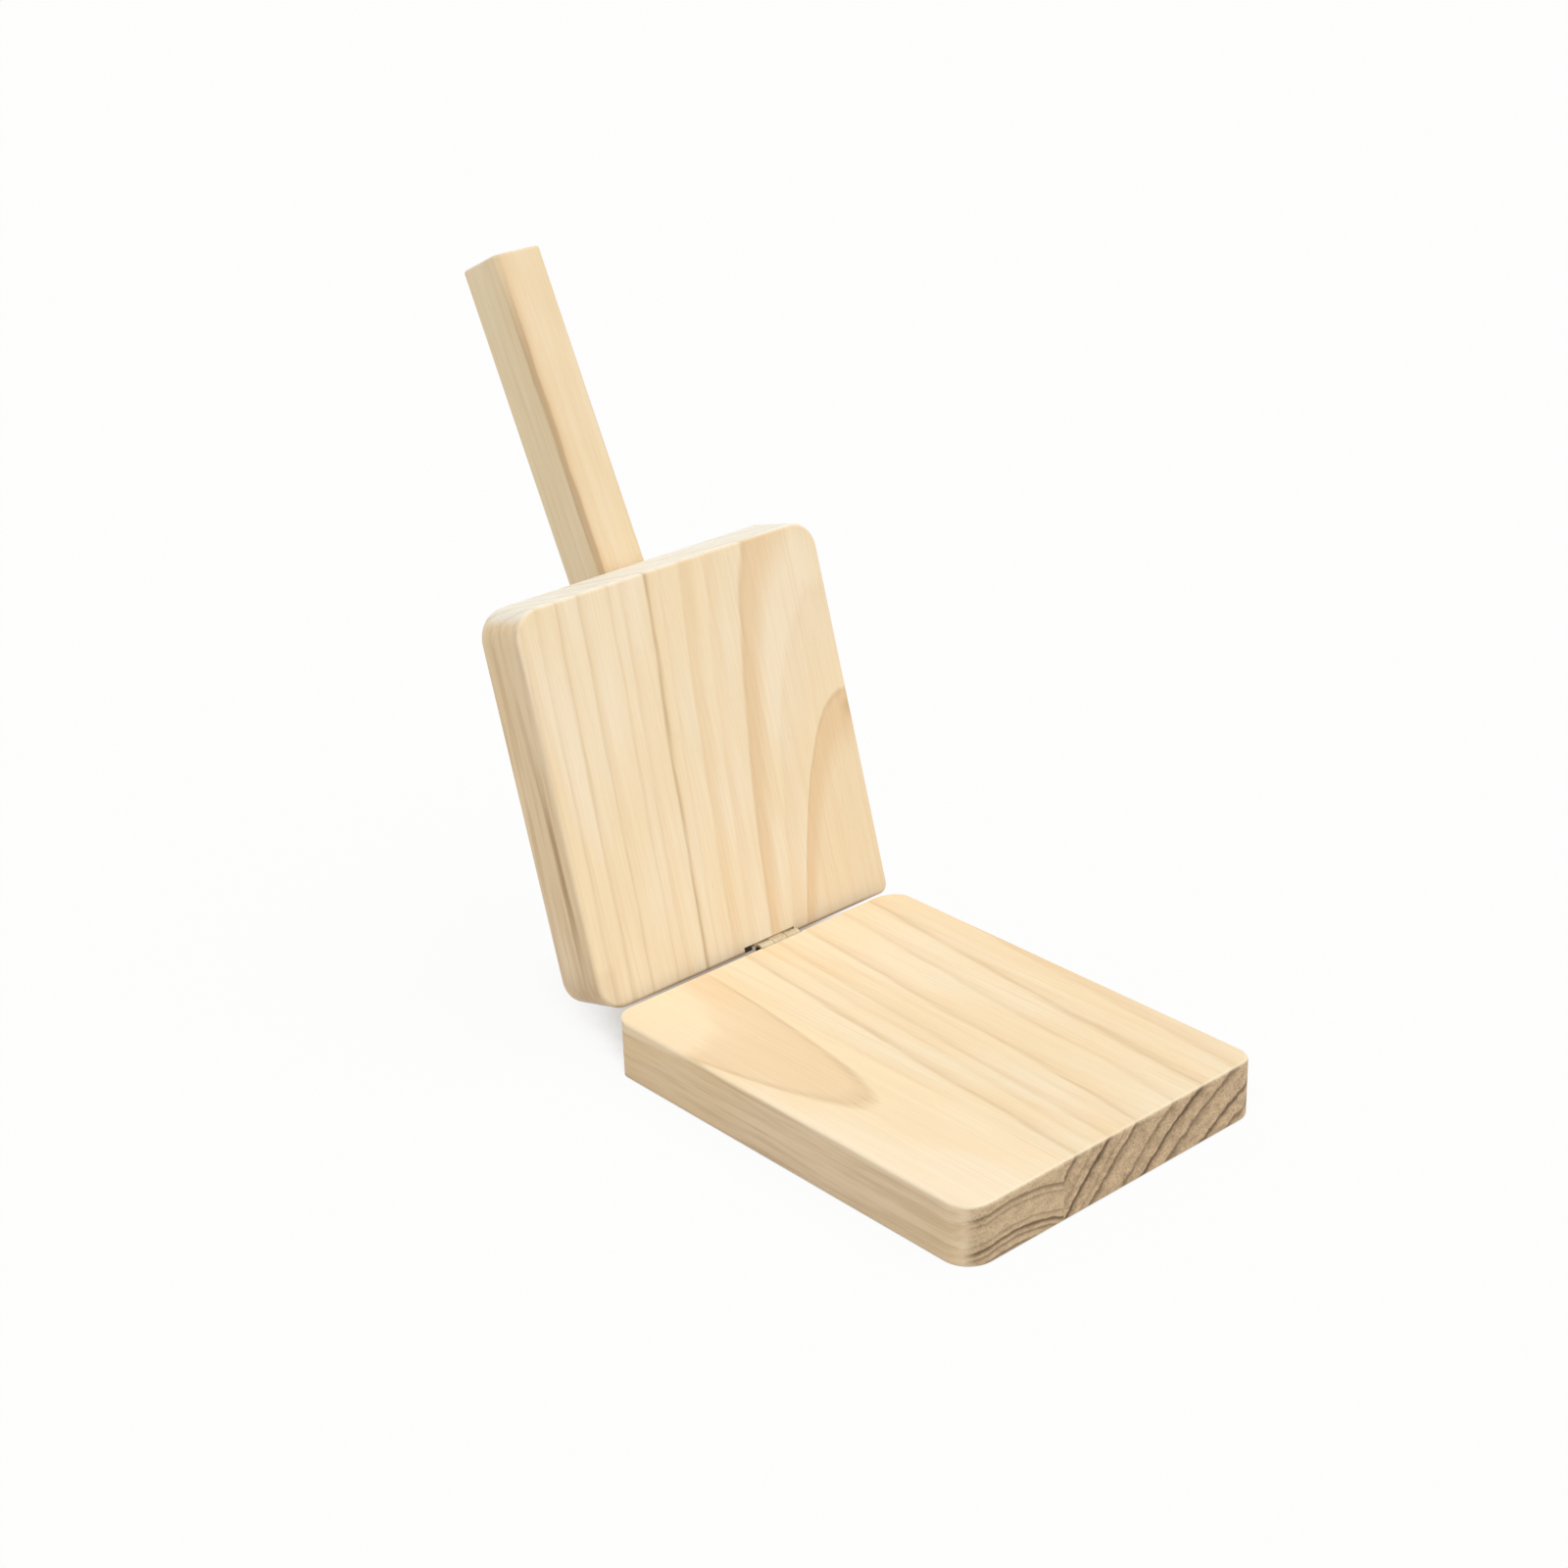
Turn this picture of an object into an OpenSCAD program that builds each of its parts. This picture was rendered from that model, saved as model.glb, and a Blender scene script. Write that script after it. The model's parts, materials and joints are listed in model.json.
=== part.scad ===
// Wooden tortilla press: a base board, a pressing board hinged along its rear end, and a
// handle stick scarfed to the pressing board's back.
// Origin: centre of the base's underside. +X runs along the hinge, -Y points at the user and
// +Z is up. The press is drawn open, with its pressing board leaning back on its stop.

/* [Boards] */
// Width of both boards, along the hinge
board_w = 140; // [120:1:200]
// Thickness of both boards
board_t = 23; // [19:0.5:32]
// Length of the base, front to back
base_l = 178; // [160:1:260]
// Length of the pressing board, from its hinge end to its free end
press_l = 148; // [143:1:220]
// Width of the base's left stave; the right stave takes the rest
left_stave_w = 44; // [25:1:60]
// Plan radius of the boards' corners, apart from the three below
corner_r = 11; // [6:0.5:20]
// Plan radius of the base's front right corner
front_right_r = 7.5; // [6:0.5:20]
// Plan radius of the base's rear left corner
rear_left_r = 8.5; // [4:0.5:12]
// Plan radius of the pressing board's right corner at its hinge end
hinge_right_r = 4; // [3:0.5:12]
// Radius of the eased edges round both faces; the base's rear end keeps sharp ones
edge_r = 1.4; // [1:0.1:1.5]
// How far the pressing board's rear end stands past the base's when shut
overhang = 2; // [1:0.1:3]

/* [Handle] */
// Width of the stick, across the board
handle_w = 21.2; // [16:0.2:30]
// Thickness of the stick
handle_t = 24.2; // [20:0.2:25]
// Angle between the stick and the pressing board
handle_lift = 10.3; // [9.8:0.1:14]
// Length of the grip, from the scarf's end to the tip
grip_l = 138; // [90:1:200]
// How far the scarf ends short of the board's free end
scarf_setback = 17; // [4:1:20]
// Thickness left at the scarf's toe
toe_t = 4; // [3.4:0.2:6]
// Radius of the stick's long edges
handle_r = 3; // [1.5:0.1:5]
// Radius of the edges round the stick's ends
tip_r = 1.2; // [0.5:0.1:1.4]

/* [Handle screws] */
// Number of screws through the scarf
handle_screw_count = 3; // [2:1:4]
// Distance of the outer screws from the scarf's two ends, along the stick
handle_screw_inset = 28; // [22:1:34]
// How deep each screw bites into the board
handle_screw_bite = 15; // [10:0.5:16]
// Shank diameter
handle_screw_d = 4; // [3:0.1:5]
// Head diameter
handle_screw_head_d = 8; // [6.5:0.1:9]

/* [Hinge] */
// Length of the hinge along its pin
hinge_l = 19; // [16:0.5:30]
// Place of the hinge's middle, to the right of the centre line
hinge_x = 11; // [0:0.5:20]
// Reach of each leaf from the pin's axis to its free edge
leaf_reach = 12.5; // [11:0.5:15]
// Thickness of a leaf
leaf_t = 1; // [0.7:0.05:1]
// Outer diameter of the knuckles
barrel_d = 4.4; // [4.2:0.1:4.8]
// Diameter of the pin
pin_d = 1.8; // [1.2:0.1:1.8]
// Radial clearance between the pin and the turning knuckle
pin_fit = 0.05; // [0.02:0.01:0.09]
// End clearance between neighbouring knuckles
knuckle_gap = 0.2; // [0.1:0.05:0.4]
// Number of knuckles
knuckle_count = 3; // [3:2:5]
// Diameter of the pin's peened ends
pin_end_d = 2.8; // [2.2:0.1:3.6]
// Thickness of the pin's peened ends
pin_end_h = 0.4; // [0.2:0.1:0.6]
// Distance of the pin's axis behind the base's rear end
pin_back = 2; // [1.4:0.05:2.1]
// Distance of the pin's axis below the base's upper face
pin_drop = 1.64; // [1.5:0.02:2]

/* [Hinge screws] */
// Shank diameter
hinge_screw_d = 2.6; // [2:0.1:3]
// Head diameter
hinge_screw_head_d = 4.6; // [4:0.1:5]
// Length
hinge_screw_l = 12; // [8:0.5:20]
// Distance from the pin's axis to the row of screws
hinge_screw_row = 7.8; // [7:0.1:8.5]
// Distance between the two screws of a leaf
hinge_screw_spread = 9.5; // [8:0.5:11]

/* [Fits] */
// Angle of the pressing board when it stands open
open_angle = 105.4; // [90:0.1:120]
// Space left between the two faces when the press is shut
shut_gap = 0.3; // [0.2:0.1:2]
// Width of the relief cut in the pressing board's edge in front of the hinge
relief_w = 24.5; // [22:0.5:35]
// How far the relief reaches past the hinge on its right
relief_past = 0.6; // [0.5:0.1:2]
// Height of the relief, up the pressing face
relief_up = 2.5; // [2:0.5:5]
// Depth of the relief, into the pressing board's thickness
relief_in = 1.5; // [1.2:0.1:5]
// Clearance round the knuckles where they turn against wood or leaf
turn_clearance = 0.3; // [0.2:0.05:0.5]
// Clearance round the leaves and pin in their housings
housing_clearance = 0.1; // [0.05:0.05:0.3]
// Radial clearance round the screws
screw_clearance = 0.05; // [0.02:0.01:0.1]

/* [Hidden] */
$fn = 64;
past = 5;                              // how far a cutting solid passes the surface it cuts
barrel_r = barrel_d / 2;
hinge_end = base_l / 2;                // the base's rear end face
press_end = hinge_end + overhang;      // the pressing board's rear end face when shut
run_out = corner_r + past;             // length of the base's blank that is cut off at the rear
pin_y = hinge_end + pin_back;
pin_z = board_t - pin_drop;
shut_z = board_t + shut_gap;           // pressing face when shut
back_z = shut_z + board_t;             // back of the pressing board when shut
glue_x = left_stave_w - board_w / 2;
hinge_left = hinge_x - hinge_l / 2;
relief_left = hinge_left + hinge_l + relief_past - relief_w;
knuckle_pitch = (hinge_l + knuckle_gap) / knuckle_count;
knuckle_l = knuckle_pitch - knuckle_gap;
scarf_l = handle_t / tan(handle_lift); // along the stick, from its back's edge to its front's
handle_l = scarf_l + grip_l;
toe_at = toe_t / tan(handle_lift);
handle_screw_first = toe_at + handle_screw_inset;
handle_screw_pitch = (scarf_l - toe_at - 2 * handle_screw_inset) / (handle_screw_count - 1);
screw_tip = 3;                         // length of a screw's point, in shank radii
recess_depth = 0.4;                    // cross recess, in shank diameters
recess_arm = 0.32;
recess_reach = 1.1;

// Section of an eased edge: depth in from the side, height h, both outer corners rounded.
module edge_section(depth, h, r) {
    translate([0, -h / 2]) square([depth - r, h]);
    translate([depth - r, r - h / 2]) square([r, h - 2 * r]);
    for (side = [-1, 1])
        intersection() {
            translate([depth - r, side * (h / 2 - r)]) circle(r);
            translate([depth - r, -h / 2]) square([r, h]);
        }
}

// The quarter of an eased block towards +X and +Y, its corner turned to its own plan radius.
module eased_quarter(w, l, h, plan_r, r) {
    translate([0, l / 2 - plan_r, 0]) {
        rotate([90, 0, 0]) linear_extrude(l / 2 - plan_r) edge_section(w / 2, h, r);
        rotate([90, 0, 90]) linear_extrude(w / 2 - plan_r) edge_section(plan_r, h, r);
        translate([w / 2 - plan_r, 0, 0]) rotate_extrude(angle = 90) edge_section(plan_r, h, r);
    }
}

// A block w by l by h about its centre, with every edge round both faces eased. Its plan radii
// are given for the far right, far left, near right and near left corners.
module eased_block(w, l, h, plan_radii, r) {
    for (near = [0, 1], left = [0, 1])
        mirror([0, near, 0]) mirror([left, 0, 0])
            eased_quarter(w, l, h, plan_radii[2 * near + left], r);
}

// A plain box from one corner to the opposite one.
module box(low, high) {
    translate(low) cube(high - low);
}

// A countersunk wood screw, its head's top at the origin and its point towards -Z.
module wood_screw(d, head_d, l, turn) {
    tip_l = screw_tip * d / 2;
    difference() {
        rotate_extrude()
            polygon([[0, 0], [head_d / 2, 0], [d / 2, (d - head_d) / 2], [d / 2, tip_l - l], [0, -l]]);
        for (arm = [0, 90])
            rotate([0, 0, turn + arm])
                cube([recess_arm * d, recess_reach * d, 2 * recess_depth * d], center = true);
    }
}

// The hole for such a screw, open above its head.
module screw_hole(d, head_d, l) {
    tip_l = screw_tip * d / 2;
    r = d / 2 + screw_clearance;
    head_r = head_d / 2 + screw_clearance;
    rotate_extrude()
        polygon([[0, past], [head_r, past], [head_r, 0], [r, (d - head_d) / 2],
                 [r, tip_l - l], [0, -l - screw_clearance]]);
}

// Turns a child drawn in the shut position up to the open one.
module opened() {
    translate([0, pin_y, pin_z]) rotate([-open_angle, 0, 0]) translate([0, -pin_y, -pin_z]) children();
}

// Places a child on the pin's axis, at the hinge's middle.
module at_pin() {
    translate([hinge_x, pin_y, pin_z]) children();
}

// One copy of the child for each screw of a leaf, its axis square to the leaf's outer face.
// The leaf hangs below the pin for side -1 and stands above it for side 1.
module at_leaf_screws(side) {
    for (end = [-1, 1])
        translate([end * hinge_screw_spread / 2, leaf_t - barrel_r, side * hinge_screw_row])
            rotate([-90, 0, 0]) children();
}

// Housing of one leaf, in the hinge's own frame: as deep as the leaf's seat.
module leaf_housing(side) {
    half_l = hinge_l / 2 + housing_clearance;
    reach = leaf_reach + housing_clearance;
    box([-half_l, -barrel_r, min(0, side * reach)], [half_l, past, max(0, side * reach)]);
}

// The base's blank, eased all round and then cut off square with two rounded corners.
module base_blank() {
    difference() {
        translate([0, run_out / 2, board_t / 2])
            eased_block(board_w, base_l + run_out, board_t, [corner_r, corner_r, front_right_r, corner_r],
                        edge_r);
        box([-board_w, hinge_end, -past], [board_w, hinge_end + 2 * run_out, board_t + past]);
        rear_corner(corner_r);
        mirror([1, 0, 0]) rear_corner(rear_left_r);
    }
}

// What is cut away outside the base's rear right corner.
module rear_corner(r) {
    translate([board_w / 2 - r, hinge_end - r, 0]) difference() {
        box([0, 0, -past], [r + past, r + past, board_t + past]);
        translate([0, 0, -2 * past]) cylinder(h = board_t + 4 * past, r = r);
    }
}

module base_board() {
    difference() {
        base_blank();
        at_pin() {
            leaf_housing(-1);
            // room for the knuckles and the pin's ends, right through the upper edge
            room = barrel_r + turn_clearance;
            half_l = hinge_l / 2 + pin_end_h + housing_clearance;
            box([-half_l, -room, -room], [half_l, past, pin_drop + past]);
            at_leaf_screws(-1) screw_hole(hinge_screw_d, hinge_screw_head_d, hinge_screw_l);
        }
    }
}

module base_stave_left() {
    color("burlywood") intersection() {
        base_board();
        box([-board_w / 2 - past, -base_l / 2 - past, -past], [glue_x, base_l / 2 + past, board_t + past]);
    }
}

module base_stave_right() {
    color("wheat") intersection() {
        base_board();
        box([glue_x, -base_l / 2 - past, -past], [board_w / 2 + past, base_l / 2 + past, board_t + past]);
    }
}

// Relief in front of the hinge and the leaf's housing, cut in the hinge end of the shut board.
module press_cuts() {
    box([relief_left, press_end - relief_up, shut_z - past],
        [relief_left + relief_w, press_end + past, shut_z + relief_in]);
    at_pin() {
        leaf_housing(1);
        at_leaf_screws(1) screw_hole(hinge_screw_d, hinge_screw_head_d, hinge_screw_l);
    }
}

module press_board() {
    color("tan") opened() difference() {
        translate([0, press_end - press_l / 2, shut_z + board_t / 2])
            eased_block(board_w, press_l, board_t, [hinge_right_r, corner_r, corner_r, corner_r], edge_r);
        press_cuts();
        at_stick() at_handle_screws() screw_hole(handle_screw_d, handle_screw_head_d, screw_length($station));
    }
}

// The stick's own frame, on the shut board: X across, Y away from the board, Z along the
// stick from where its back's plane meets the board.
module at_stick() {
    translate([0, press_end - press_l + scarf_setback, back_z])
        rotate([90 - handle_lift, 0, 0]) translate([0, 0, -scarf_l]) children();
}

// A screw reaches through the stick at its station and bites into the board.
function screw_length(station) = station * tan(handle_lift) + handle_screw_bite;

module at_handle_screws() {
    for (i = [0 : handle_screw_count - 1]) {
        $station = handle_screw_first + i * handle_screw_pitch;
        translate([0, handle_t, $station]) rotate([-90, 0, 0]) children();
    }
}

module handle() {
    color("peru") opened() difference() {
        at_stick() difference() {
            translate([0, handle_t / 2, handle_l / 2])
                eased_block(handle_w, handle_t, handle_l, [handle_r, handle_r, handle_r, handle_r], tip_r);
            at_handle_screws() screw_hole(handle_screw_d, handle_screw_head_d, screw_length($station));
            // blunt toe
            box([-handle_w, -past, -past], [handle_w, handle_t + past, toe_at]);
        }
        // the scarf's flat, on the board's back
        box([-handle_w, press_end - press_l - past, back_z - board_t], [handle_w, press_end + past, back_z]);
    }
}

module handle_screws() {
    color("silver") opened() at_stick() at_handle_screws()
        wood_screw(handle_screw_d, handle_screw_head_d, screw_length($station), $station);
}

// Span of knuckle i along the pin, measured from the hinge's middle.
function knuckle_start(i) = i * knuckle_pitch - hinge_l / 2;

// One leaf below the pin: a plate tangent to its knuckles, which are rolled round the pin.
// Knuckles with an even number belong to the leaf of parity 0, the others to that of parity 1.
module hinge_leaf(parity) {
    own = [for (i = [0 : knuckle_count - 1]) if (i % 2 == parity) i];
    others = [for (i = [0 : knuckle_count - 1]) if (i % 2 != parity) i];
    difference() {
        union() {
            box([-hinge_l / 2, -barrel_r, -leaf_reach], [hinge_l / 2, leaf_t - barrel_r, 0]);
            for (i = own)
                translate([knuckle_start(i), 0, 0]) rotate([0, 90, 0]) cylinder(h = knuckle_l, r = barrel_r);
        }
        for (i = others) {
            first = i == 0 ? -past : -knuckle_gap;
            last = i == knuckle_count - 1 ? past : knuckle_gap;
            box([knuckle_start(i) + first, -barrel_d, -barrel_r - turn_clearance],
                [knuckle_start(i) + knuckle_l + last, barrel_d, barrel_d]);
        }
        translate([-hinge_l, 0, 0]) rotate([0, 90, 0]) cylinder(h = 2 * hinge_l, r = pin_d / 2 + pin_fit);
        at_leaf_screws(-1) screw_hole(hinge_screw_d, hinge_screw_head_d, hinge_screw_l);
    }
}

module hinge_leaf_base() {
    color("silver") at_pin() hinge_leaf(0);
}

module hinge_leaf_press() {
    color("silver") opened() at_pin() mirror([0, 0, 1]) hinge_leaf(1);
}

module hinge_pin() {
    color("gray") at_pin() {
        translate([-hinge_l / 2, 0, 0]) rotate([0, 90, 0]) cylinder(h = hinge_l, d = pin_d);
        for (side = [0, 1])
            mirror([side, 0, 0])
                translate([hinge_l / 2, 0, 0]) rotate([0, 90, 0]) cylinder(h = pin_end_h, d = pin_end_d);
    }
}

module base_hinge_screws() {
    color("silver") at_pin() at_leaf_screws(-1)
        wood_screw(hinge_screw_d, hinge_screw_head_d, hinge_screw_l, 20);
}

module press_hinge_screws() {
    color("silver") opened() at_pin() at_leaf_screws(1)
        wood_screw(hinge_screw_d, hinge_screw_head_d, hinge_screw_l, 65);
}

base_stave_left();
base_stave_right();
press_board();
handle();
handle_screws();
hinge_leaf_base();
hinge_leaf_press();
hinge_pin();
base_hinge_screws();
press_hinge_screws();
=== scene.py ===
# Small wooden tortilla press, standing open: pine boards, a scarfed stick for a handle and a
# let-in butt hinge. Lengths inside a finish are in millimetres of its own board laid flat:
# X across the board, Y along the grain, Z through its thickness.
import json
import math

import bpy
from mathutils import Matrix, Vector

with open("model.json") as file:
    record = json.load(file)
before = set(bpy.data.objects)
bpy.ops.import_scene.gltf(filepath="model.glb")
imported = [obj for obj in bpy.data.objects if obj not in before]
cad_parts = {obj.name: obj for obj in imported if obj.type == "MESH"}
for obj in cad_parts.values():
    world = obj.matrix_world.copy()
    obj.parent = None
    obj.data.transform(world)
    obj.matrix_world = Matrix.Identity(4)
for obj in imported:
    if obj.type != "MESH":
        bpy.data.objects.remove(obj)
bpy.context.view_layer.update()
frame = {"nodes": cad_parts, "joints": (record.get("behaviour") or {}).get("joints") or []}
pressNodes = frame["nodes"]
scene = bpy.context.scene
print("press loaded,", len(pressNodes), "pieces")

# ------- camera

camera = {
    "place": (-0.603039, -0.620422, 0.519909),
    "right": (0.744817, -0.666614, -0.029548),
    "forward": (0.596208, 0.68473, -0.419142),
    "lens": 65.43,
    "sensor": 36,
    "farClip": 50,
}


def aimCamera(look):
    lensData = bpy.data.cameras.new("cornerView")
    lensData.lens = look["lens"]
    lensData.sensor_width = look["sensor"]
    lensData.clip_end = look["farClip"]
    viewer = bpy.data.objects.new("cornerView", lensData)
    scene.collection.objects.link(viewer)
    right = Vector(look["right"]).normalized()
    back = -Vector(look["forward"]).normalized()
    up = back.cross(right)
    turn = Matrix((right, up, back)).transposed()
    viewer.matrix_world = Matrix.Translation(look["place"]) @ turn.to_4x4()
    scene.camera = viewer


aimCamera(camera)
print("camera set at the front left corner")

# ------- shop helpers for node work

perMetre = 1000  # millimetres
noiseMiddle = 0.5
seedSteps = (1, 0.7, 1.3)  # how far a seed of 1 moves the noise along each axis


# an sRGB tone, 0 to 255, as linear light
def tone(red, green, blue):
    shades = []
    for level in (red, green, blue):
        share = level / 255
        shades.append(share / 12.92 if share <= 0.04045 else ((share + 0.055) / 1.055) ** 2.4)
    return (*shades, 1)


def newFinish(name):
    finish = bpy.data.materials.new(name)
    finish.use_nodes = True
    finish.node_tree.nodes.clear()
    return finish, finish.node_tree


def plug(tree, socket, value):
    if isinstance(value, bpy.types.NodeSocket):
        tree.links.new(value, socket)
    elif value is not None:
        socket.default_value = value


def sums(tree, work, first, second=None, third=None, clamp=False):
    node = tree.nodes.new("ShaderNodeMath")
    node.operation = work
    node.use_clamp = clamp
    for socket, value in zip(node.inputs, (first, second, third)):
        plug(tree, socket, value)
    return node.outputs[0]


def vectorSums(tree, work, first, second=None, third=None):
    node = tree.nodes.new("ShaderNodeVectorMath")
    node.operation = work
    for socket, value in zip(node.inputs, (first, second, third)):
        plug(tree, socket, value)
    return node.outputs["Value" if work == "LENGTH" else "Vector"]


def splitAxes(tree, vector):
    node = tree.nodes.new("ShaderNodeSeparateXYZ")
    tree.links.new(vector, node.inputs[0])
    return node.outputs


def noiseAt(tree, spot, detail, rough):
    node = tree.nodes.new("ShaderNodeTexNoise")
    tree.links.new(spot, node.inputs["Vector"])
    node.inputs["Scale"].default_value = 1
    node.inputs["Detail"].default_value = detail
    node.inputs["Roughness"].default_value = rough
    return node


def clouds(tree, spot, size, detail, rough, seed):
    shrunk = vectorSums(tree, "MULTIPLY", spot, tuple(1 / length for length in size))
    moved = vectorSums(tree, "ADD", shrunk, tuple(seed * step for step in seedSteps))
    return noiseAt(tree, moved, detail, rough).outputs[0]


def between(tree, value, low, high, lowOut=0.0, highOut=1.0, smooth=True):
    node = tree.nodes.new("ShaderNodeMapRange")
    node.interpolation_type = "SMOOTHSTEP" if smooth else "LINEAR"
    for socket, setting in zip(node.inputs, (value, low, high, lowOut, highOut)):
        plug(tree, socket, setting)
    return node.outputs[0]


# inputs 6 and 7 and output 2 are the colour ones of a Mix node
def blendTones(tree, share, first, second, how="MIX"):
    node = tree.nodes.new("ShaderNodeMix")
    node.data_type = "RGBA"
    node.blend_type = how
    node.clamp_result = False
    plug(tree, node.inputs[0], share)
    plug(tree, node.inputs[6], first)
    plug(tree, node.inputs[7], second)
    return node.outputs[2]


def darken(tree, colour, share):
    grey = tree.nodes.new("ShaderNodeCombineColor")
    for socket in grey.inputs:
        plug(tree, socket, share)
    return blendTones(tree, 1.0, colour, grey.outputs[0], "MULTIPLY")


def coat(tree, colour, roughness, height, bump):
    shine = tree.nodes.new("ShaderNodeBsdfPrincipled")
    tree.links.new(colour, shine.inputs["Base Color"])
    tree.links.new(roughness, shine.inputs["Roughness"])
    relief = tree.nodes.new("ShaderNodeBump")
    relief.inputs["Strength"].default_value = bump["strength"]
    relief.inputs["Distance"].default_value = bump["depth"]
    tree.links.new(height, relief.inputs["Height"])
    tree.links.new(relief.outputs[0], shine.inputs["Normal"])
    out = tree.nodes.new("ShaderNodeOutputMaterial")
    tree.links.new(shine.outputs[0], out.inputs[0])
    return shine


# ------- pine

# Places the open pieces back on the bench, flat, so that their grain can be laid out there.
hinge = frame["joints"][0]
pinSpot = Vector(hinge["pos_m"])
openTurn = Matrix.Rotation(math.radians(hinge["range_deg"][1]), 4, "X")
layFlat = Matrix.Translation(pinSpot) @ openTurn @ Matrix.Translation(-pinSpot)
handleSeat = {"y": -0.040, "z": 0.0463, "lift": 10.3, "scarf": 0.1332}


def stickFlat(seat):
    place = Matrix.Translation((0, seat["y"], seat["z"]))
    place = place @ Matrix.Rotation(math.radians(90 - seat["lift"]), 4, "X")
    place = place @ Matrix.Translation((0, 0, -seat["scarf"]))
    return Matrix.Rotation(math.radians(-90), 4, "X") @ place.inverted() @ layFlat


# A ring warms over its fade, darkens next to its edge and stops there. "warmAt" is a share of the
# fade. "dimAt", "darkAt" and "goneAt" are millimetres, times what the growth has for "crisp".
# A ramp holds 32 stops, so it takes six rings.
ringProfile = {
    "ringsPerRamp": 6,
    "before": 0.5,
    "after": 1,
    "closestStops": 0.004,
    "warmAt": 0.5,
    "warmEnd": 0.3,
    "dimAt": 1.1,
    "dimFace": 0.2,
    "dimEnd": 0.6,
    "darkAt": 0.3,
    "goneAt": 0.35,
}

# Small figure. "size" is that of one patch, "step" keeps the seeds apart and "shows" is the span
# of the noise over which the patch comes in. A finish gives the two sizes left out here.
figures = {
    "wander": {"detail": 1.5, "rough": 0.5, "step": 0},
    "ripple": {"size": (5, 55, 5), "detail": 2, "rough": 0.6, "step": 3},
    "fibre": {"size": (0.55, 45, 0.55), "detail": 3, "rough": 0.6, "step": 7, "shows": (0.3, 0.7)},
    "streak": {"size": (2.6, 130, 2.6), "detail": 3, "rough": 0.55, "step": 11,
               "shows": (0.45, 0.7)},
    "fleck": {"size": (0.5, 7, 0.5), "detail": 2, "rough": 0.5, "step": 17, "shows": (0.62, 0.78)},
    "patch": {"detail": 2, "rough": 0.5, "step": 23, "shows": (0.38, 0.62)},
    "grit": {"size": (0.7, 12, 0.7), "detail": 2, "rough": 0.7, "step": 29, "shows": (0.42, 0.7)},
    "gaps": {"size": (1.5, 22, 1.5), "detail": 2, "rough": 0.6, "step": 37, "shows": (0.3, 0.6)},
    "blotch": {"size": (5, 60, 3), "detail": 3, "rough": 0.6, "step": 43, "shows": (0.42, 0.66),
               "showsOnEnds": (0.4, 0.65)},
}

# "squareOn" is how squarely a face turns to an axis before it counts as a side or an end.
pineSurface = {
    "squareOn": (0.55, 0.9),
    "leastLine": 0.45,
    # the next value strengthens the painted highlight on the eased edges
    "edgeHighlightGain": 4.0,
    "trembleSize": (0.35, 0.06, 0.35),
    "trembleDetail": 2,
    "trembleRough": 0.5,
    "trembleReach": (1.6, 9, 1.2),
    "longMark": 5,
    "sheenSpan": (0.2, 0.8),
    "roughness": (0.64, 0.52),
    "specular": 0.3,
    "ringDip": -0.5,
    "bump": {"strength": 0.5, "depth": 0.0001},
}


def ringStops(rings, core, crisp):
    profile = ringProfile
    firstRing, firstFade = rings[0][0], rings[0][4]
    stops = [(firstRing - firstFade - profile["before"], (0, 0, core))]
    inside = core
    for ring, onFace, onEnd, warm, fade in rings:
        dim = (profile["dimFace"] * onFace, profile["dimEnd"] * onEnd, warm)
        stops.append((ring - fade, (0, 0, inside)))
        stops.append((ring - profile["warmAt"] * fade, (0, profile["warmEnd"] * onEnd, warm)))
        stops.append((ring - profile["dimAt"] * crisp, dim))
        stops.append((ring - profile["darkAt"] * crisp, (onFace, onEnd, warm)))
        stops.append((ring + profile["goneAt"] * crisp, (0, 0, 0)))
        inside = 0
    return stops


# shares of dark on the faces, dark on the end grain and warmth, at a distance from the pith
def ringRamp(tree, radius, rings, core, crisp):
    shares = None
    count = ringProfile["ringsPerRamp"]
    for start in range(0, len(rings), count):
        group = rings[start:start + count]
        stops = ringStops(group, core if start == 0 else 0, crisp)
        low = stops[0][0]
        high = group[-1][0] + ringProfile["after"]
        node = tree.nodes.new("ShaderNodeValToRGB")
        plug(tree, node.inputs[0], between(tree, radius, low, high, smooth=False))
        ramp = node.color_ramp
        while len(ramp.elements) < len(stops):
            ramp.elements.new(0.5)
        last = low
        for element, (where, levels) in zip(ramp.elements, stops):
            last = max(where, last + ringProfile["closestStops"])
            element.position = (last - low) / (high - low)
            element.color = (*levels, 1)
        parts = tree.nodes.new("ShaderNodeSeparateColor")
        tree.links.new(node.outputs[0], parts.inputs[0])
        if shares is None:
            shares = list(parts.outputs)
        else:
            shares = [sums(tree, "ADD", old, new) for old, new in zip(shares, parts.outputs)]
    return shares


def radiusFrom(tree, across, along, deep, growth):
    run = sums(tree, "SUBTRACT", along, growth["start"])
    pithAcross = sums(tree, "MULTIPLY_ADD", run, growth["drift"][0], growth["pith"][0])
    pithDeep = sums(tree, "MULTIPLY_ADD", run, growth["drift"][1], growth["pith"][1])
    sideways = sums(tree, "SUBTRACT", across, pithAcross)
    through = sums(tree, "SUBTRACT", deep, pithDeep)
    throughSquared = sums(tree, "MULTIPLY", through, through)
    squares = sums(tree, "MULTIPLY_ADD", sideways, sideways, throughSquared)
    return sums(tree, "SQRT", squares)


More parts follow.
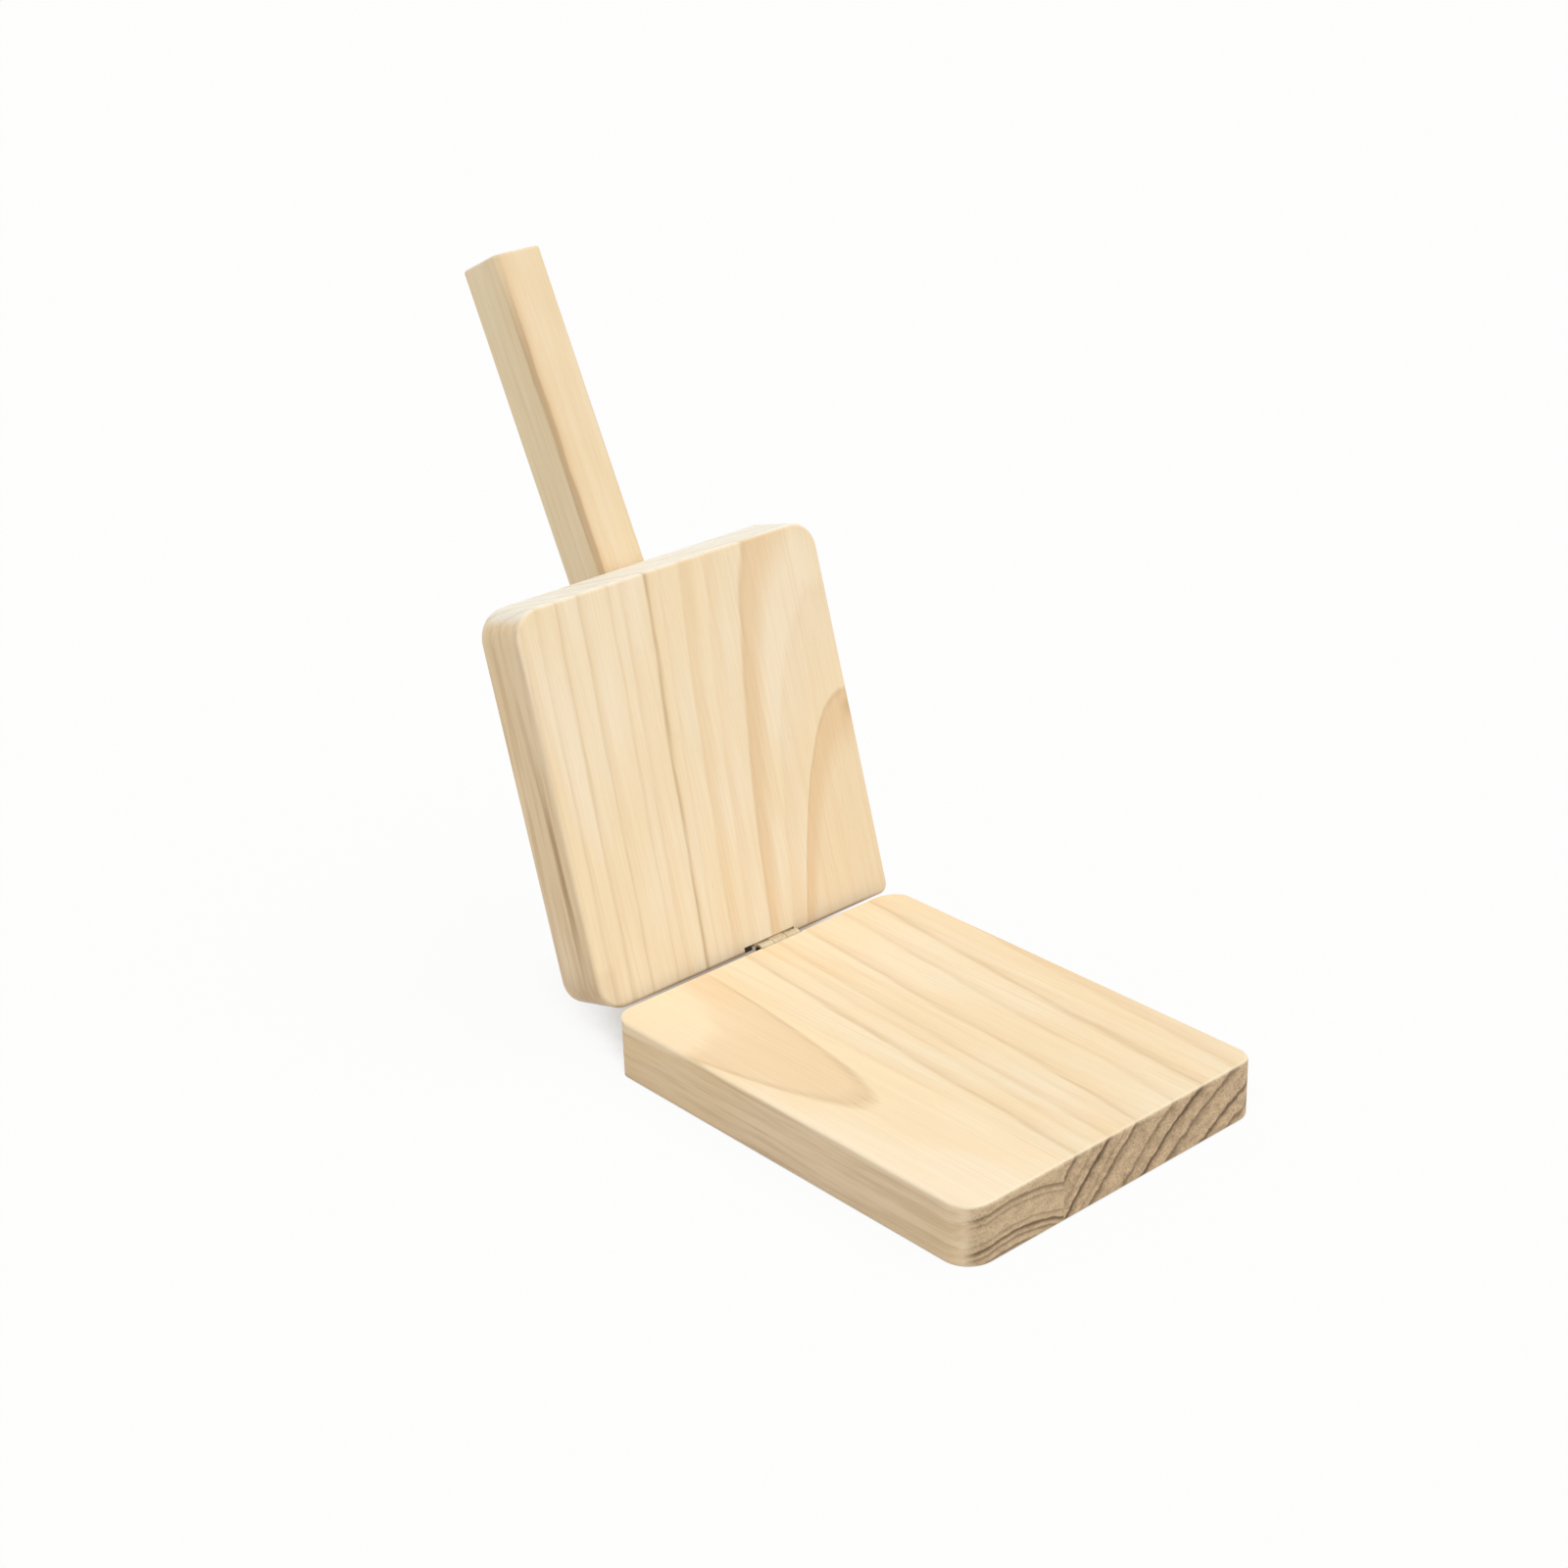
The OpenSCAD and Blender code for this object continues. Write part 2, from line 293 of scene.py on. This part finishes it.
def growthShares(tree, spot, wander, growths):
    across, along, deep = splitAxes(tree, spot)
    shares = None
    for growth in growths:
        radius = radiusFrom(tree, across, along, deep, growth)
        radius = sums(tree, "MULTIPLY_ADD", wander, growth.get("loose", 1), radius)
        core, crisp = growth.get("core", 0), growth.get("crisp", 1)
        found = ringRamp(tree, radius, growth["rings"], core, crisp)
        if shares is None:
            shares = found
        else:
            shares = [sums(tree, "MAXIMUM", old, new) for old, new in zip(shares, found)]
    return shares


def nearSpot(tree, spot, mark):
    off = vectorSums(tree, "SUBTRACT", spot, mark["at"])
    off = vectorSums(tree, "DIVIDE", off, mark["half"])
    off = vectorSums(tree, "ABSOLUTE", off)
    if mark.get("round"):
        widest = vectorSums(tree, "LENGTH", off)
    else:
        across, along, deep = splitAxes(tree, off)
        widest = sums(tree, "MAXIMUM", sums(tree, "MAXIMUM", across, along), deep)
    return between(tree, widest, mark["solid"], 1.0, mark["share"], 0.0)


# Marks on the wood, and on the pressing board also patches of painted shade. Long ones get an
# unsteady outline.
def addMarks(tree, colour, spot, marks):
    swaying = vectorSums(tree, "MULTIPLY", spot, pineSurface["trembleSize"])
    sway = noiseAt(tree, swaying, pineSurface["trembleDetail"], pineSurface["trembleRough"])
    centred = vectorSums(tree, "SUBTRACT", sway.outputs["Color"], (noiseMiddle,) * 3)
    loose = vectorSums(tree, "MULTIPLY_ADD", centred, pineSurface["trembleReach"], spot)
    for mark in marks:
        where = loose if mark["half"][1] > pineSurface["longMark"] else spot
        colour = blendTones(tree, nearSpot(tree, where, mark), colour, mark["tone"])
    return colour


# where on the board a point lies, in millimetres, and which way it faces
def boardCoords(tree, flat):
    coords = tree.nodes.new("ShaderNodeTexCoord")
    laid = []
    for source, kind in (("Object", "POINT"), ("Normal", "VECTOR")):
        node = tree.nodes.new("ShaderNodeMapping")
        node.vector_type = kind
        tree.links.new(coords.outputs[source], node.inputs["Vector"])
        node.inputs["Rotation"].default_value = flat.to_euler()
        if kind == "POINT":
            node.inputs["Location"].default_value = flat.to_translation() * perMetre
            node.inputs["Scale"].default_value = (perMetre,) * 3
        laid.append(node.outputs[0])
    return laid


def figureNoise(tree, spot, wood, name):
    figure = figures[name]
    size = figure["size"] if "size" in figure else wood[name + "Size"]
    seed = wood["seed"] + figure["step"]
    return clouds(tree, spot, size, figure["detail"], figure["rough"], seed)


def shown(tree, noises, name, most=1.0, least=0.0, span="shows"):
    return between(tree, noises[name], *figures[name][span], least, most)


def faceTone(tree, wood, noises, sideShare, onFace, warmth):
    face = blendTones(tree, shown(tree, noises, "patch"), wood["early"], wood["warm"])
    seen = sums(tree, "MULTIPLY_ADD", sideShare, wood["sideRings"] - 1, 1.0)
    warmth = sums(tree, "MULTIPLY", warmth, seen)
    warmth = sums(tree, "MULTIPLY", warmth, wood["bands"], clamp=True)
    face = blendTones(tree, warmth, face, wood["band"])
    face = blendTones(tree, shown(tree, noises, "streak", wood["streaks"]), face, wood["band"])
    broken = shown(tree, noises, "gaps", least=pineSurface["leastLine"])
    lines = sums(tree, "MULTIPLY", sums(tree, "MULTIPLY", onFace, seen), broken)
    lines = sums(tree, "MULTIPLY", lines, wood["lines"], clamp=True)
    face = blendTones(tree, lines, face, wood["line"])
    face = blendTones(tree, shown(tree, noises, "fleck", wood["flecks"]), face, wood["line"])
    sides = blendTones(tree, shown(tree, noises, "blotch", wood["sideStreaks"]), face, wood["line"])
    sides = blendTones(tree, 1.0, sides, wood["sideTint"], "MULTIPLY")
    return blendTones(tree, sideShare, face, sides)


def endTone(tree, wood, noises, onEnd):
    rings = sums(tree, "MULTIPLY", onEnd, wood["endLines"], clamp=True)
    ends = blendTones(tree, rings, wood["endEarly"], wood["endLate"])
    ends = blendTones(tree, shown(tree, noises, "grit", wood["endGrit"]), ends, wood["endLate"])
    most = wood["endBlotch"] * wood["endGrit"]
    blotches = shown(tree, noises, "blotch", most, span="showsOnEnds")
    return blendTones(tree, blotches, ends, wood["endLate"])


# painted highlight: where a face turns halfway between up and sideways, on the eased edges, the
# colour is painted paler
def paintEdgeHighlight(tree, colour, upwards, wood):
    tilt = sums(tree, "MULTIPLY", upwards, upwards)
    highlitEdge = sums(tree, "MULTIPLY", tilt, sums(tree, "SUBTRACT", 1.0, tilt))
    highlitEdge = sums(tree, "MULTIPLY", highlitEdge, pineSurface["edgeHighlightGain"])
    highlitEdge = sums(tree, "MULTIPLY", highlitEdge, wood["edge"], clamp=True)
    return blendTones(tree, highlitEdge, colour, wood["edgeHighlightTone"])


def pineFinish(name, wood, flat=Matrix.Identity(4)):
    finish, tree = newFinish(name)
    spot, facing = boardCoords(tree, flat)
    sideways, lengthways, upwards = splitAxes(tree, facing)
    sideShare = between(tree, sums(tree, "ABSOLUTE", sideways), *pineSurface["squareOn"])
    endShare = between(tree, sums(tree, "ABSOLUTE", lengthways), *pineSurface["squareOn"])
    noises = {figure: figureNoise(tree, spot, wood, figure) for figure in figures}

    # growth rings round each tilted pith
    wander = sums(tree, "SUBTRACT", noises["wander"], noiseMiddle)
    wander = sums(tree, "MULTIPLY", wander, wood["wander"])
    ripple = sums(tree, "SUBTRACT", noises["ripple"], noiseMiddle)
    wander = sums(tree, "MULTIPLY_ADD", ripple, wood["ripple"], wander)
    onFace, onEnd, warmth = growthShares(tree, spot, wander, wood["growths"])

    face = faceTone(tree, wood, noises, sideShare, onFace, warmth)
    colour = blendTones(tree, endShare, face, endTone(tree, wood, noises, onEnd))
    # paints a highlight on the eased edges
    colour = paintEdgeHighlight(tree, colour, upwards, wood)
    if wood["marks"]:
        colour = addMarks(tree, colour, spot, wood["marks"])
    colour = darken(tree, colour, shown(tree, noises, "fibre", least=1 - wood["fibres"]))

    fibre = noises["fibre"]
    sheen = (*pineSurface["sheenSpan"], *pineSurface["roughness"])
    roughness = between(tree, fibre, *sheen, smooth=False)
    height = sums(tree, "MULTIPLY_ADD", onFace, pineSurface["ringDip"], fibre)
    shine = coat(tree, colour, roughness, height, pineSurface["bump"])
    shine.inputs["Specular IOR Level"].default_value = pineSurface["specular"]
    return finish


# Each ring gives its radius, how dark it is on the faces, how dark on the end grain, how warm it
# is and how far it fades inwards. "drift" is the pith's lean along the board.
pineTones = {
    "early": tone(254, 235, 203),
    "warm": tone(252, 229, 190),
    "band": tone(240, 208, 164),
    "line": tone(190, 158, 112),
    "sideTint": (1.0, 0.97, 0.94, 1),
    "sideRings": 0.25,
    "sideStreaks": 0.3,
    "endEarly": tone(216, 189, 153),
    "endLate": tone(92, 66, 38),
    "endGrit": 0.3,
    "endBlotch": 0.6,
    # share and tone of the painted highlight on the eased edges
    "edge": 0.25,
    "edgeHighlightTone": tone(253, 240, 214),
    "patchSize": (26, 90, 26),
    "wander": 1.0,
    "wanderSize": (50, 70, 50),
    "ripple": 2.2,
    "bands": 0.85,
    "streaks": 0.25,
    "flecks": 0.15,
    "fibres": 0.06,
    "lines": 0.9,
    "endLines": 0.95,
    "marks": [],
}

baseLeftWood = {
    **pineTones,
    "seed": 2.0,
    "streaks": 0.1,
    "flecks": 0.08,
    "ripple": 1.2,
    "sideTint": (0.94, 0.905, 0.87, 1),
    "endEarly": tone(223, 197, 160),
    "growths": [
        {
            "start": -89,
            "pith": (-50, -50.2),
            "drift": (0.05, 0.0),
            "rings": [
                (52.6, 0.2, 0.7, 0.3, 2.2), (55.5, 0.1, 0.6, 0.3, 2), (58, 0.3, 0.95, 0.5, 2.6),
                (60.4, 0.1, 0.4, 0.2, 1.8), (67.4, 0, 0.4, 0.0, 2), (70, 0.1, 0.7, 0.2, 3),
            ],
        },
        {
            "start": -89,
            "pith": (-43.7, -55.1),
            "drift": (-0.042, 0.044),
            "loose": 0.35,
            "crisp": 0.5,
            "rings": [(75, 0.34, 0, 0.62, 5.2)],
        },
    ],
    "marks": [
        {"at": (-64, 94, 23), "half": (28, 51, 5), "solid": 0.78, "share": 0.9,
         "tone": tone(254, 232, 196), "round": True},
        {"at": (-26, -80, 23), "half": (0.35, 30, 40), "solid": 0.3, "share": 0.25,
         "tone": tone(190, 160, 118)},
    ],
}

baseRightWood = {
    **pineTones,
    "seed": 31.0,
    "early": tone(250, 231, 197),
    "warm": tone(249, 225, 185),
    "wander": 1.5,
    "wanderSize": (60, 80, 60),
    "ripple": 3.0,
    "bands": 0.42,
    "lines": 0.36,
    "endGrit": 0.4,
    "endEarly": tone(223, 195, 158),
    "endLate": tone(82, 56, 31),
    "growths": [{
        "start": -89,
        "pith": (126.6, -122.5),
        "drift": (0.073, 0.0),
        "crisp": 1.35,
        "rings": [(137, 0.4, 0.8, 0.8, 3), (143, 0.3, 0.7, 0.6, 3), (150.2, 0.5, 0.9, 0.8, 3),
                  (160.7, 0.4, 0.75, 1.0, 4), (169, 0.9, 1.0, 0.6, 4), (176.1, 0.5, 0.6, 0.5, 4),
                  (187, 0.8, 0.8, 0.7, 4.5), (190.5, 0.2, 0.3, 0.2, 2), (196.2, 0.5, 1.0, 0.5, 4),
                  (200.5, 0.3, 0.3, 0.4, 3), (207, 0.9, 0.8, 0.6, 4)],
    }],
}

pressWood = {
    **pineTones,
    "seed": 57.0,
    "early": tone(253, 236, 206),
    "warm": tone(251, 230, 193),
    "wander": 0.7,
    "ripple": 1.8,
    "bands": 0.75,
    "sideTint": (1.0, 0.96, 0.93, 1),
    # The end grain is painted nearly white, a painted highlight for the light from above on the
    # board's free top end; a mark below gives the hinge end a darker end tone.
    "endEarly": tone(255, 250, 237),
    "endLate": tone(232, 212, 176),
    "growths": [
        {
            "start": 11,
            "pith": (66, 113.3),
            "drift": (0.05, -0.11),
            "rings": [
                (94.6, 0.05, 0.3, 0.3, 4), (101.2, 0.2, 0.7, 1.0, 4.5), (107.4, 0.05, 0.4, 0.3, 3),
                (113.2, 0.1, 0.4, 0.5, 4), (118.6, 0.1, 0.4, 0.1, 2), (122.5, 0.72, 0.9, 0.3, 3),
                (129.5, 0.12, 0.5, 0.2, 3), (133.2, 0.2, 0.6, 0.15, 2), (142.6, 0.3, 0.6, 0.2, 3),
                (150.2, 0.32, 0.6, 0.25, 3), (156.8, 0.22, 0.6, 0.2, 3), (163.2, 0.3, 0.7, 0.3, 3),
            ],
        },
        {
            "start": 11,
            "pith": (66.5, 83),
            "drift": (-0.03, -0.15),
            "core": 0.25,
            "loose": 0.2,
            "crisp": 0.4,
            "rings": [(60, 0.3, 0.5, 1.15, 3.6)],
        },
    ],
    "marks": [
        {"at": (-70, 38, 30), "half": (4, 60, 2.8), "solid": 0.05, "share": 0.6,
         "tone": tone(178, 140, 94)},
        {"at": (-70, 36, 29.4), "half": (4, 28, 1.7), "solid": 0.05, "share": 0.45,
         "tone": tone(166, 126, 80)},
        {"at": (-68, 90, 34), "half": (9, 18, 16), "solid": 0.1, "share": 0.35,
         "tone": tone(170, 130, 88)},
        # painted shadow: a dark line along the lower left corner of the hinge end
        {"at": (-64, 92.5, 34), "half": (12, 4.5, 16), "solid": 0.1, "share": 0.45,
         "tone": tone(128, 96, 60)},
        # the hinge end's own darker end-grain tone, and painted shade on the rounded lower edge of
        # the pressing face along the hinge
        {"at": (0, 91.2, 35), "half": (76, 2.2, 18), "solid": 0.3, "share": 0.45,
         "tone": tone(188, 156, 116)},
        {"at": (69, 17, 23), "half": (5, 7, 4), "solid": 0.1, "share": 0.4,
         "tone": tone(196, 152, 100), "round": True},
        # painted shade: the recess left of the hinge painted near black
        {"at": (-1.2, 91, 23), "half": (2.5, 2.6, 2.2), "solid": 0.8, "share": 0.95,
         "tone": tone(52, 38, 22)},
    ],
}

handleWood = {
    **pineTones,
    "seed": 83.0,
    "early": tone(247, 226, 190),
    "warm": tone(244, 221, 181),
    "sideTint": (1.085, 1.13, 1.18, 1),
    "sideStreaks": 0.12,
    "endEarly": tone(250, 240, 220),
    "endLate": tone(214, 186, 148),
    # no painted edge highlight on the handle
    "edge": 0.0,
    "patchSize": (12, 60, 12),
    "growths": [
        {
            "start": 133,
            "pith": (-10.6, 0),
            "drift": (0, 0),
            "core": 0.6,
            "rings": [(8, 0.0, 0.3, 0.35, 7)],
        },
    ],
    "marks": [
        {"at": (-10, 200, -1), "half": (4, 90, 3), "solid": 0.1, "share": 0.25,
         "tone": tone(206, 168, 120)},
        {"at": (-9.9, 194, -1.1), "half": (1.5, 82, 1.5), "solid": 0.4, "share": 0.4,
         "tone": tone(170, 128, 80)},
    ],
}

finishes = {
    "base_stave_left": pineFinish("pineBaseLeft", baseLeftWood),
    "base_stave_right": pineFinish("pineBaseRight", baseRightWood),
    "press_board": pineFinish("pinePressingBoard", pressWood, layFlat),
    "handle": pineFinish("pineHandle", handleWood, stickFlat(handleSeat)),
}
print("pine laid out on both boards and the handle")

# ------- hinge and screws

plating = {
    "detail": 3,
    "rough": 0.6,
    "brushShows": (0.3, 0.7),
    "brushLeaves": 0.9,
    "stainSize": (3, 3, 3),
    "stainStep": 5,
    "stainShows": (0.35, 0.7),
    "sheenSpan": (0.2, 0.8),
    "bump": {"strength": 0.3, "depth": 0.00005},
}


def metalFinish(name, metal):
    finish, tree = newFinish(name)
    coords = tree.nodes.new("ShaderNodeTexCoord")
    spot = vectorSums(tree, "MULTIPLY", coords.outputs["Object"], (perMetre,) * 3)
    look = (plating["detail"], plating["rough"])
    brushed = clouds(tree, spot, metal["brush"], *look, metal["seed"])
    stain = clouds(tree, spot, plating["stainSize"], *look, metal["seed"] + plating["stainStep"])
    stained = between(tree, stain, *plating["stainShows"])
    colour = blendTones(tree, stained, metal["bright"], metal["dull"])
    dimmed = between(tree, brushed, *plating["brushShows"], plating["brushLeaves"], 1.0)
    colour = darken(tree, colour, dimmed)
    roughness = between(tree, brushed, *plating["sheenSpan"], *metal["roughness"])
    shine = coat(tree, colour, roughness, brushed, plating["bump"])
    shine.inputs["Metallic"].default_value = metal["metallic"]
    return finish


hingeMetal = {
    "bright": tone(222, 206, 174),
    "dull": tone(204, 186, 150),
    "brush": (6, 0.15, 0.15),
    "roughness": (0.7, 0.55),
    "metallic": 0.35,
    "seed": 4.0,
}
screwMetal = {
    "bright": tone(196, 188, 174),
    "dull": tone(160, 152, 138),
    "brush": (0.3, 0.3, 0.3),
    "roughness": (0.45, 0.32),
    "metallic": 1,
    "seed": 9.0,
}
# painted shade: the pin is coloured the dark brown of the shade in the hole where its end shows
pinMetal = {
    "bright": tone(62, 50, 34),
    "dull": tone(48, 38, 25),
    "brush": (0.3, 0.3, 0.3),
    "roughness": (0.85, 0.7),
    "metallic": 0.3,
    "seed": 14.0,
}
hingeFinish = metalFinish("platedHinge", hingeMetal)
screwFinish = metalFinish("platedScrews", screwMetal)
finishes["hinge_pin"] = metalFinish("pinPaintedShade", pinMetal)
for name in ("hinge_leaf_base", "hinge_leaf_press"):
    finishes[name] = hingeFinish
for name in ("handle_screws", "base_hinge_screws", "press_hinge_screws"):
    finishes[name] = screwFinish
for name, finish in finishes.items():
    for slot in pressNodes[name].material_slots:
        slot.material = finish
print("hinge and screws plated")

# ------- floor and light

studio = {
    "floorSize": 9,
    "floorDrop": 0.0001,
    "floorTone": tone(225, 220, 212),
    "floorReach": 0.09,
    "floorLean": (-0.6, -0.6, 0.53),
    "floorOpen": (0.38, 0.72),
    "floorGlow": (0.0, 0.95),
    "skyLevel": 0.58,
    "keyLevel": 1.5,
    "keyFrom": (0.15, -0.4, 1),
    "keySpread": 60,
}


# 1 for rays that show the room and its floor, 0 for those that light the press
def seenRays(tree):
    rays = tree.nodes.new("ShaderNodeLightPath")
    both = sums(tree, "ADD", rays.outputs["Is Camera Ray"], rays.outputs["Is Glossy Ray"])
    return sums(tree, "ADD", both, rays.outputs["Is Transmission Ray"], clamp=True)


# The floor glows white where it lies open and turns matt in the nooks round the press.
def layFloor(room):
    half = room["floorSize"] / 2
    sheet = bpy.data.meshes.new("paleFloor")
    corners = [(-half, -half, 0), (half, -half, 0), (half, half, 0), (-half, half, 0)]
    sheet.from_pydata(corners, [], [(0, 1, 2, 3)])
    floor = bpy.data.objects.new("paleFloor", sheet)
    floor.location.z = -room["floorDrop"]
    scene.collection.objects.link(floor)
    finish, tree = newFinish("paleFloor")
    matt = tree.nodes.new("ShaderNodeBsdfDiffuse")
    matt.inputs["Color"].default_value = room["floorTone"]
    glow = tree.nodes.new("ShaderNodeEmission")
    mixed = tree.nodes.new("ShaderNodeMixShader")
    nook = tree.nodes.new("ShaderNodeAmbientOcclusion")
    nook.inputs["Distance"].default_value = room["floorReach"]
    lean = tree.nodes.new("ShaderNodeCombineXYZ")
    for socket, part in zip(lean.inputs, room["floorLean"]):
        socket.default_value = part
    tree.links.new(lean.outputs[0], nook.inputs["Normal"])
    openness = between(tree, nook.outputs["AO"], *room["floorOpen"], *room["floorGlow"])
    plug(tree, mixed.inputs[0], sums(tree, "MULTIPLY", seenRays(tree), openness))
    tree.links.new(matt.outputs[0], mixed.inputs[1])
    tree.links.new(glow.outputs[0], mixed.inputs[2])
    out = tree.nodes.new("ShaderNodeOutputMaterial")
    tree.links.new(mixed.outputs[0], out.inputs[0])
    sheet.materials.append(finish)


def lightStudio(room):
    world = bpy.data.worlds.new("softRoom")
    scene.world = world
    world.use_nodes = True
    tree = world.node_tree
    tree.nodes.clear()
    seen = tree.nodes.new("ShaderNodeBackground")
    lit = tree.nodes.new("ShaderNodeBackground")
    seen.inputs["Color"].default_value = (1, 1, 1, 1)
    lit.inputs["Color"].default_value = (1, 1, 1, 1)
    lit.inputs["Strength"].default_value = room["skyLevel"]
    mixed = tree.nodes.new("ShaderNodeMixShader")
    plug(tree, mixed.inputs[0], seenRays(tree))
    tree.links.new(lit.outputs[0], mixed.inputs[1])
    tree.links.new(seen.outputs[0], mixed.inputs[2])
    out = tree.nodes.new("ShaderNodeOutputWorld")
    tree.links.new(mixed.outputs[0], out.inputs[0])

    lamp = bpy.data.lights.new("softKey", "SUN")
    lamp.energy = room["keyLevel"]
    lamp.angle = math.radians(room["keySpread"])
    key = bpy.data.objects.new("softKey", lamp)
    scene.collection.objects.link(key)
    key.rotation_euler = Vector(room["keyFrom"]).to_track_quat("Z", "Y").to_euler()


layFloor(studio)
lightStudio(studio)
scene.view_settings.view_transform = "Standard"
print("floor and light ready")
